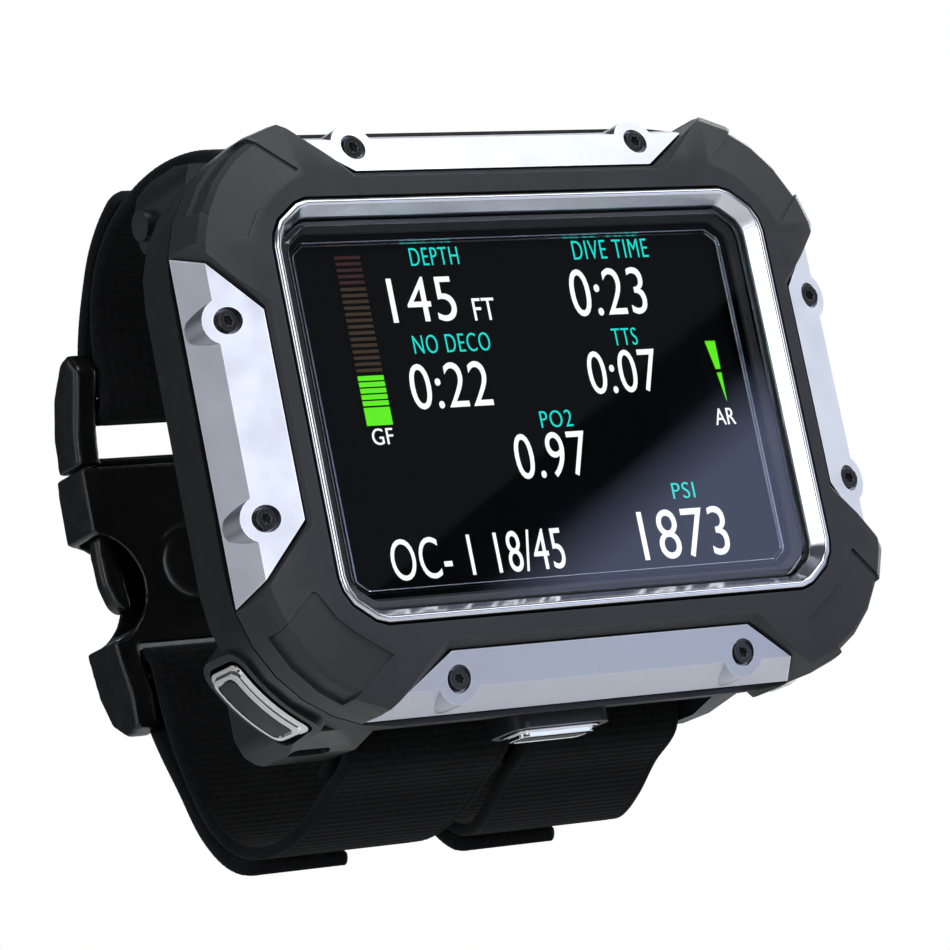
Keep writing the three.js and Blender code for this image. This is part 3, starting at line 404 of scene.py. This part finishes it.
def lit(name, colour, strength):
    """A lit part of the display: faint pixel rows under an even glow."""
    s = Shader(name)
    rows = s.wave("Z", 5.0)
    s.look(Base_Color=(0.0, 0.0, 0.0), Roughness=0.4)
    s.look(Emission_Color=s.mix(s.ramp(rows, 0.0, 1.0), colour, [c * 0.95 for c in colour]))
    s.look(Emission_Strength=strength)
    return s.material


def circuit_board(name):
    """Green solder mask with darker tracks."""
    s = Shader(name)
    patch = s.ramp(s.noise(0.25, 1.0), 0.0, 1.0, 0.48, 0.52)
    s.look(Base_Color=s.mix(patch, (0.008, 0.05, 0.02), (0.012, 0.08, 0.035)))
    s.look(Roughness=s.ramp(s.noise(2.0), 0.3, 0.45))
    return s.material


CASE_BLACK = moulded_plastic("case_black", (0.0085, 0.0088, 0.0095), (0.03, 0.031, 0.033), 0.36)
BUMPER = moulded_plastic("bumper_charcoal", (0.0205, 0.0222, 0.0258), (0.05, 0.052, 0.056), 0.44)
BUCKLE = moulded_plastic("buckle_black", (0.006, 0.006, 0.0065), (0.03, 0.03, 0.032), 0.22, 2.0, 0.05)
PLATE = blasted_metal("plate_aluminium", (0.56, 0.59, 0.67), 0.34)
BEZEL = polished_metal("bezel_metal", (0.72, 0.74, 0.78), 0.15)
CHROME = polished_metal("button_chrome", (0.86, 0.87, 0.88), 0.06)
STEEL = polished_metal("steel", (0.5, 0.51, 0.52), 0.25, 0.1)
SCREW = moulded_plastic("black_screw", (0.01, 0.01, 0.011), (0.12, 0.12, 0.12), 0.28, 8.0, 0.2)
GOLD = polished_metal("contact_gold", (0.83, 0.6, 0.24), 0.15)
WEBBING = webbing_cloth("webbing")
RUBBER = rubber("black_rubber")
GLASS = lens_glass("lens")
SCREEN = screen_black("screen_black")
BOARD = circuit_board("board")
CELL = polished_metal("cell_wrap", (0.5, 0.52, 0.55), 0.3, 0.1)
SLOT_LOOKS = {
    "case_black": CASE_BLACK,
    "bumper_charcoal": BUMPER,
    "buckle_black": BUCKLE,
    "plate_aluminium": PLATE,
    "bezel_metal": BEZEL,
    "button_chrome": CHROME,
    "steel": STEEL,
    "black_screw": SCREW,
    "contact_gold": GOLD,
    "webbing": WEBBING,
    "black_rubber": RUBBER,
    "lens": GLASS,
    "screen_black": SCREEN,
    "board": BOARD,
    "cell_wrap": CELL,
}


# ---- Dressing the CAD nodes ----------------------------------------------------------------------

def round_edges(obj, radius):
    """Welds a CAD node, clears its coplanar edges and rounds the sharp ones."""
    for polygon in obj.data.polygons:
        polygon.use_smooth = True
    weld = obj.modifiers.new("weld", "WELD")
    weld.merge_threshold = WELD_M
    flat = obj.modifiers.new("flat", "DECIMATE")
    flat.decimate_type = "DISSOLVE"
    flat.angle_limit = math.radians(COPLANAR_DEGREES)
    bevel = obj.modifiers.new("bevel", "BEVEL")
    bevel.width = radius * MM
    bevel.segments = EDGE_SEGMENTS
    bevel.limit_method = "ANGLE"
    bevel.angle_limit = math.radians(SHARP_DEGREES)
    bevel.harden_normals = True
    bevel.miter_outer = "MITER_ARC"
    normals = obj.modifiers.new("normals", "WEIGHTED_NORMAL")
    normals.keep_sharp = True


def melt_edges(obj, passes):
    """Gives a moulded node large soft edges: a fine even skin, relaxed."""
    skin = obj.modifiers.new("skin", "REMESH")
    skin.mode = "VOXEL"
    skin.voxel_size = MELT_CELL * MM
    skin.use_smooth_shade = True
    relax = obj.modifiers.new("relax", "SMOOTH")
    relax.factor = MELT_FACTOR
    relax.iterations = passes


def dress_nodes():
    """Gives every CAD node its material and its rounded edges."""
    slots = {part["node"]: part["material_slot"] for part in frame["record"]["subparts"]}
    for name, obj in nodes.items():
        obj.data.materials.clear()
        obj.data.materials.append(SLOT_LOOKS[slots[name]])
        if name.startswith("buckle"):
            melt_edges(obj, SOCKET_PASSES if name.endswith("female") else PLUG_PASSES)
        else:
            round_edges(obj, EDGE_RADIUS.get(name, SMALL_EDGE))


# ---- Mesh helpers --------------------------------------------------------------------------------

def at(x, depth, z):
    """A point of the case's own frame, in the row frame, in metres."""
    return Vector((x, depth - REAR_DEPTH, z)) * MM


def new_piece(name, verts, faces, look, body, smooth=True):
    """A mesh of its own that rides a body of the part."""
    mesh = bpy.data.meshes.new(name)
    mesh.from_pydata([tuple(v) for v in verts], [], faces)
    mesh.validate()
    bm = bmesh.new()
    bm.from_mesh(mesh)
    bmesh.ops.recalc_face_normals(bm, faces=bm.faces)
    bm.to_mesh(mesh)
    bm.free()
    for polygon in mesh.polygons:
        polygon.use_smooth = smooth
    mesh.materials.append(look)
    obj = bpy.data.objects.new(name, mesh)
    bpy.context.scene.collection.objects.link(obj)
    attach(obj, body)
    return obj


# ---- Straps --------------------------------------------------------------------------------------

def smooth_step(t):
    t = min(max(t, 0.0), 1.0)
    return t * t * (3 - 2 * t)


def through(points, step):
    """Centripetal Catmull-Rom line through the points, sampled about every step."""
    pts = [Vector(p) for p in points]
    pts = [2 * pts[0] - pts[1], *pts, 2 * pts[-1] - pts[-2]]
    line = []
    for p0, p1, p2, p3 in zip(pts, pts[1:], pts[2:], pts[3:]):
        t0 = 0.0
        t1 = t0 + (p1 - p0).length ** 0.5
        t2 = t1 + (p2 - p1).length ** 0.5
        t3 = t2 + (p3 - p2).length ** 0.5
        count = max(2, int((p2 - p1).length / step))
        for i in range(count):
            t = t1 + (t2 - t1) * i / count
            a1 = p0.lerp(p1, (t - t0) / (t1 - t0))
            a2 = p1.lerp(p2, (t - t1) / (t2 - t1))
            a3 = p2.lerp(p3, (t - t2) / (t3 - t2))
            b1 = a1.lerp(a2, (t - t0) / (t2 - t0))
            b2 = a2.lerp(a3, (t - t1) / (t3 - t1))
            line.append(b1.lerp(b2, (t - t1) / (t2 - t1)))
    line.append(pts[-2])
    return line


def normals_of(line):
    """Unit normals on the left of a flat line."""
    out = []
    for i, _ in enumerate(line):
        along = (line[min(i + 1, len(line) - 1)] - line[max(i - 1, 0)]).normalized()
        out.append(Vector((along.y, -along.x)))
    return out


def offset_line(line, amount_at):
    """The line moved along its normals by an amount that depends on the share of the way along."""
    last = len(line) - 1
    return [p + n * amount_at(i / last) for i, (p, n) in enumerate(zip(line, normals_of(line)))]


def wrap_arc(centre, radius, through_sign):
    """A half turn round a bar, without its two ends."""
    points = []
    for i in range(1, WRAP_STEPS):
        angle = math.pi - i * math.pi / WRAP_STEPS
        across = radius * math.cos(angle)
        up = through_sign * radius * math.sin(angle)
        points.append(Vector((centre[0] + across, centre[1] + up)))
    return points


def length_of(line):
    return sum((b - a).length for a, b in zip(line, line[1:]))


def even(line, step):
    """The same line with points a fixed distance apart."""
    out = [line[0].copy()]
    left = step
    for a, b in zip(line, line[1:]):
        length = (b - a).length
        gone = 0.0
        while length - gone >= left and length > 0:
            gone += left
            out.append(a.lerp(b, gone / length))
            left = step
        left -= length - gone
    return out


def webbing_path(run, buckle_bar, sign, tail_share):
    """The band's middle line, and the length at which its free tail starts."""
    samples = through(run, RUN_STEP)
    flap_count = round(len(samples) * SEWN_SHARE)
    tail_start = round((1 - tail_share) * (len(samples) - 1))

    def flap_gap(t):
        start = 2 * WRAP_AT_CASE
        closed = smooth_step((t - FLAP_CLOSES[0]) / FLAP_CLOSES[1])
        return sign * (start + (PLY_PITCH - start) * closed)

    def tail_gap(t):
        end = 2 * WRAP_AT_BUCKLE
        opened = smooth_step((t - TAIL_OPENS[0]) / TAIL_OPENS[1])
        return -sign * (PLY_PITCH + (end - PLY_PITCH) * opened)

    case_bar = (BAR_DEPTH, sign * BAR_HEIGHT)
    hidden = flap_count // 4
    flap = list(reversed(offset_line(samples[:flap_count], flap_gap)[hidden:]))
    tail = list(reversed(offset_line(samples[tail_start:], tail_gap)))
    around_case = list(reversed(wrap_arc(case_bar, WRAP_AT_CASE, -sign)))
    around_buckle = wrap_arc(buckle_bar, WRAP_AT_BUCKLE, -sign)
    band = flap + around_case + samples + around_buckle
    return band + tail, length_of(band)


def webbing_section():
    """Points round the band's section as (across, out of the band), with a corded edge each side."""
    half = WEBBING_WIDTH / 2
    thick = WEBBING_THICKNESS / 2
    stops = (EDGE_ROUND, *CORD_STOPS)
    middle = WEBBING_WIDTH - 2 * FLAT_FROM
    across = [-half + stop for stop in stops]
    across += [-half + FLAT_FROM + middle * i / FLAT_STRIPS for i in range(FLAT_STRIPS + 1)]
    across += [half - stop for stop in reversed(stops)]
    top = [(a, thick) for a in across]
    right = []
    for k in (1, 2, 3):
        angle = k * math.pi / 4
        right.append((half - EDGE_ROUND + EDGE_ROUND * math.sin(angle), thick * math.cos(angle)))
    half_way_round = top + right
    return half_way_round + [(-a, -out) for a, out in half_way_round]


def tail_trim(travelled, tail_from, total):
    """How far the free tail's right and left edges stand in from the full width."""
    if travelled < tail_from:
        return 0.0, 0.0
    narrower = TAIL_NARROWER * smooth_step((travelled - tail_from) / TAIL_NARROWS_OVER)
    to_end = max(total - travelled, 0.0)
    corner = 0.0
    if to_end < TAIL_CORNER:
        corner = TAIL_CORNER - math.sqrt(TAIL_CORNER ** 2 - (TAIL_CORNER - to_end) ** 2)
    return narrower + corner, corner


def make_webbing(body, run, buckle_bar, sign, side, tail_share):
    """Sweeps the ribbed section along one strap half, in place of its plain CAD band."""
    step = RIB_PITCH / STEPS_PER_RIB
    path, tail_from = webbing_path(run, buckle_bar, sign, tail_share)
    line = even(path, step)
    normals = normals_of(line)
    section = webbing_section()
    half = WEBBING_WIDTH / 2
    total = (len(line) - 1) * step
    verts = []
    for i, (p, n) in enumerate(zip(line, normals)):
        ripple = math.sin(2 * math.pi * i / STEPS_PER_RIB)
        share = smooth_step((p.x - SPLAY_START) / (SPLAY_END - SPLAY_START))
        x_middle = side * (STRAP_X_AT_CASE + (STRAP_X_AT_BUCKLE - STRAP_X_AT_CASE) * share)
        right, left = tail_trim(i * step, tail_from, total)
        squeeze = (WEBBING_WIDTH - right - left) / WEBBING_WIDTH
        taper = END_TAPER if i in (0, len(line) - 1) else 1.0
        for across, out in section:
            edge = half - abs(across)
            rib = RIB_HEIGHT * ripple * (1.0 if edge > GROOVE[1] else CORD_RIB_SHARE)
            dip = -GROOVE_DEPTH if GROOVE[0] < edge < GROOVE[1] else 0.0
            lift = (out / (WEBBING_THICKNESS / 2)) * (rib + dip)
            q = p + n * (out * taper + lift)
            x = -half + left + (across + half) * squeeze
            verts.append(at(x_middle + x, q.x, q.y))
    count = len(section)
    faces = []
    for i in range(len(line) - 1):
        for j in range(count):
            k = (j + 1) % count
            faces.append((i * count + j, i * count + k, (i + 1) * count + k, (i + 1) * count + j))
    faces.append(tuple(range(count)))
    last = (len(line) - 1) * count
    faces.append(tuple(reversed(range(last, last + count))))
    band = new_piece(f"{body}_band", verts, faces, WEBBING, body)
    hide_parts(f"{body}_webbing")


def make_straps():
    """The four strap halves, upper and lower on each side."""
    for name, side in (("left", -1), ("right", 1)):
        upper = f"strap_{name}_upper"
        lower = f"strap_{name}_lower"
        make_webbing(upper, UPPER_RUN, MALE_BAR, 1, side, UPPER_TAIL_SHARE)
        make_webbing(lower, LOWER_RUN, FEMALE_BAR, -1, side, LOWER_TAIL_SHARE)


# ---- Display ---------------------------------------------------------------------------------------

class Pattern:
    """Flat raised figures on the display, gathered into one mesh."""

    def __init__(self):
        self.verts = []
        self.faces = []

    def figure(self, points):
        first = len(self.verts)
        count = len(points)
        for depth in (READ_OUT_FRONT, READ_OUT_BACK):
            self.verts += [at(x, depth, z) for x, z in points]
        self.faces.append(tuple(range(first, first + count)))
        self.faces.append(tuple(reversed(range(first + count, first + 2 * count))))
        for i in range(count):
            k = (i + 1) % count
            self.faces.append((first + i, first + count + i, first + count + k, first + k))

    def bar(self, foot, head):
        x0, x1 = BAR_X
        self.figure([(x0, foot), (x1, foot), (x1, head), (x0, head)])

    def bars(self, first, height, count):
        for i in range(count):
            foot = first + i * BAR_PITCH
            self.bar(foot, foot + height)

    def writing(self, text, x_range, z_range, weight, spacing):
        """Sets a text in Blender's own typeface and stretches it over its range."""
        curve = bpy.data.curves.new("writing", "FONT")
        curve.body = text
        curve.offset = weight
        curve.space_character = spacing
        curve.extrude = 1.0
        curve.resolution_u = 5
        obj = bpy.data.objects.new("writing", curve)
        bpy.context.scene.collection.objects.link(obj)
        depsgraph = bpy.context.evaluated_depsgraph_get()
        mesh = bpy.data.meshes.new_from_object(obj.evaluated_get(depsgraph))
        low = [min(v.co[k] for v in mesh.vertices) for k in range(2)]
        high = [max(v.co[k] for v in mesh.vertices) for k in range(2)]
        first = len(self.verts)
        for v in mesh.vertices:
            x = x_range[0] + (v.co.x - low[0]) / (high[0] - low[0]) * (x_range[1] - x_range[0])
            z = z_range[0] + (v.co.y - low[1]) / (high[1] - low[1]) * (z_range[1] - z_range[0])
            self.verts.append(at(x, READ_OUT_FRONT if v.co.z > 0 else READ_OUT_BACK, z))
        self.faces += [tuple(first + i for i in polygon.vertices) for polygon in mesh.polygons]
        bpy.data.objects.remove(obj)
        bpy.data.curves.remove(curve)
        bpy.data.meshes.remove(mesh)

    def make(self, name, look):
        return new_piece(name, self.verts, self.faces, look, "computer", smooth=False)


def inset_outline(points, inset):
    """Moves every side of a convex, anticlockwise outline inward by the same amount."""
    lines = []
    for (ax, az), (bx, bz) in zip(points, points[1:] + points[:1]):
        length = math.hypot(bx - ax, bz - az)
        nx, nz = (bz - az) / length, (ax - bx) / length
        lines.append((nx, nz, nx * ax + nz * az - inset))
    moved = []
    for (nx, nz, reach), (mx, mz, far) in zip(lines[-1:] + lines[:-1], lines):
        det = nx * mz - nz * mx
        moved.append(((reach * mz - far * nz) / det, (far * nx - reach * mx) / det))
    return moved


def window_outline(inset):
    """The bezel's outline, moved inward."""
    quarter = list(BEZEL_CORNER)
    left = [(-x, z) for x, z in reversed(quarter)]
    right = [(x, -z) for x, z in reversed(quarter)]
    return inset_outline(quarter + left + [(-x, -z) for x, z in quarter] + right, inset)


def make_window_rim():
    """Two fine bright lips where the display window is let into its dark surround."""
    verts = []
    faces = []
    for middle in WINDOW_LIPS:
        first = len(verts)
        half = WINDOW_LIP_WIDTH / 2
        crest = MASK_FACE - WINDOW_LIP_WIDTH
        profile = ((middle - half, MASK_FACE), (middle, crest), (middle + half, MASK_FACE))
        for inset, depth in profile:
            verts += [at(x, depth, z) for x, z in window_outline(inset)]
        count = len(window_outline(0))
        for ring in range(3):
            for i in range(count):
                k = (i + 1) % count
                a = first + ring * count
                b = first + (ring + 1) % 3 * count
                faces.append((a + i, b + i, b + k, a + k))
    new_piece("display_window_rim", verts, faces, BEZEL, "computer", smooth=False)


def make_display():
    """The lit read-outs, one piece to each colour."""
    labels = Pattern()
    for text, x_range, z_range in LABELS:
        labels.writing(text, x_range, z_range, LABEL_WEIGHT, LABEL_SPACING)
    labels.make("display_labels", lit("lit_teal", (0.0, 0.84, 0.72), 1.08))

    values = Pattern()
    for text, x_range, z_range in VALUES:
        values.writing(text, x_range, z_range, VALUE_WEIGHT, VALUE_SPACING)
    values.make("display_values", lit("lit_white", (1.0, 1.0, 1.0), 1.3))

    green = Pattern()
    green.bar(*GREEN_BLOCK)
    green.bars(*GREEN_BARS)
    for wedge in ASCENT_WEDGES:
        green.figure(wedge)
    green.make("display_green", lit("lit_green", (0.13, 1.0, 0.0), 1.05))

    amber = Pattern()
    amber.bars(*AMBER_BARS)
    amber.make("display_amber", lit("lit_amber", (0.09, 0.045, 0.004), 0.45))

    red = Pattern()
    red.bars(*RED_BARS)
    red.make("display_red", lit("lit_red", (0.075, 0.004, 0.006), 0.45))


# ---- Stage ---------------------------------------------------------------------------------------

def make_floor():
    """A plain pale floor. It glows a little, to the camera only, so that it stays pale far off."""
    bpy.ops.mesh.primitive_plane_add(size=FLOOR_SIZE, location=(0, 0, FLOOR_HEIGHT))
    floor = bpy.context.object
    floor.name = "floor"
    s = Shader("floor")
    cloud = s.ramp(s.noise(0.004, 2.0), 0.0, 1.0)
    s.look(Base_Color=s.mix(cloud, (0.86, 0.86, 0.86), (0.88, 0.88, 0.88)))
    s.look(Roughness=0.9)
    path = s.tree.nodes.new("ShaderNodeLightPath")
    s.look(Emission_Color=(1.0, 1.0, 1.0))
    s.look(Emission_Strength=s.sum(path.outputs["Is Camera Ray"], FLOOR_GLOW, "MULTIPLY"))
    floor.data.materials.append(s.material)
    floor.visible_diffuse = False


def make_world():
    """White behind the object, and a dim even fill for everything that the camera doesn't see."""
    world = bpy.data.worlds.new("studio")
    bpy.context.scene.world = world
    world.use_nodes = True
    tree = world.node_tree
    tree.nodes.clear()
    output = tree.nodes.new("ShaderNodeOutputWorld")
    seen = tree.nodes.new("ShaderNodeBackground")
    seen.inputs[0].default_value = (1, 1, 1, 1)
    seen.inputs[1].default_value = 1.0
    lighting = tree.nodes.new("ShaderNodeBackground")
    lighting.inputs[0].default_value = WORLD_COLOUR
    lighting.inputs[1].default_value = WORLD_FILL
    path = tree.nodes.new("ShaderNodeLightPath")
    mix = tree.nodes.new("ShaderNodeMixShader")
    tree.links.new(path.outputs["Is Camera Ray"], mix.inputs[0])
    tree.links.new(lighting.outputs[0], mix.inputs[1])
    tree.links.new(seen.outputs[0], mix.inputs[2])
    tree.links.new(mix.outputs[0], output.inputs[0])


def soft_light(name, place, size, watts, colour, shiny_only=False, matt_only=False):
    """A rectangular lamp aimed at the origin."""
    lamp = bpy.data.lights.new(name, "AREA")
    lamp.shape = "RECTANGLE"
    lamp.size, lamp.size_y = size
    lamp.energy = watts
    lamp.color = colour
    obj = bpy.data.objects.new(name, lamp)
    obj.location = place
    obj.rotation_mode = "QUATERNION"
    obj.rotation_quaternion = (-Vector(place)).to_track_quat("-Z", "Y")
    bpy.context.scene.collection.objects.link(obj)
    obj.visible_camera = False
    obj.visible_diffuse = not shiny_only
    obj.visible_glossy = not matt_only
    return obj


def card(name, towards, size, radiance, colour):
    """A soft box seen from the object in the given direction, mirrored with this radiance."""
    place = Vector(towards).normalized() * CARD_DISTANCE
    watts = radiance * math.pi * size[0] * size[1]
    return soft_light(name, place, size, watts, colour, shiny_only=True)


def light_only(lamp, receivers):
    """Lets a lamp light these objects and no others."""
    lamp.light_linking.receiver_collection = bpy.data.collections.new(f"{lamp.name}_receivers")
    for obj in receivers:
        lamp.light_linking.receiver_collection.objects.link(obj)


def make_lens_card():
    """The pale panel mirrored in the lower right of the lens, with a soft slanted edge."""
    s = Shader("lens_card")
    tree = s.tree
    split = tree.nodes.new("ShaderNodeSeparateXYZ")
    s.link(s.place, split.inputs[0])
    glow = tree.nodes.new("ShaderNodeEmission")
    edge = s.ramp(split.outputs["Y"], LENS_CARD_RADIANCE, 0.0, *LENS_CARD_FADE)
    s.set(glow.inputs["Color"], LENS_CARD_COLOUR)
    s.set(glow.inputs["Strength"], edge)
    s.link(glow.outputs[0], s.output.inputs["Surface"])
    tree.nodes.remove(s.skin)
    bpy.ops.mesh.primitive_plane_add(size=LENS_CARD_SIZE)
    panel = bpy.context.object
    panel.name = "lens_card"
    panel.location = LENS_CARD_AT
    panel.rotation_euler = (math.radians(90), math.radians(-LENS_CARD_TILT), 0)
    panel.data.materials.append(s.material)
    panel.visible_camera = False
    panel.visible_diffuse = False
    panel.visible_shadow = False


def make_lights():
    """All lamps and cards. Two of the cards only give highlights to the bezel and the buckles."""
    for name, place, size, watts, colour, matt_only in LAMPS:
        soft_light(name, place, size, watts, colour, matt_only=matt_only)
    for values in CARDS:
        card(*values)
    light_only(card(*BEZEL_CARD), [nodes["bezel_ring"], bpy.data.objects["display_window_rim"]])
    buckles = [obj for name, obj in nodes.items() if name.startswith("buckle")]
    light_only(card(*BUCKLE_STRIP), buckles)
    make_lens_card()


def make_camera():
    lens = bpy.data.cameras.new("camera")
    lens.lens = CAMERA_LENS
    lens.sensor_width = CAMERA_SENSOR
    lens.clip_start, lens.clip_end = CAMERA_CLIP_M
    camera = bpy.data.objects.new("camera", lens)
    camera.location = Vector(CAMERA_AT) * MM
    camera.rotation_euler = [math.radians(a) for a in CAMERA_TURN]
    bpy.context.scene.collection.objects.link(camera)
    bpy.context.scene.camera = camera


dress_nodes()
make_straps()
make_display()
make_window_rim()
make_floor()
make_world()
make_lights()
make_camera()
bpy.context.scene.view_settings.view_transform = "Standard"
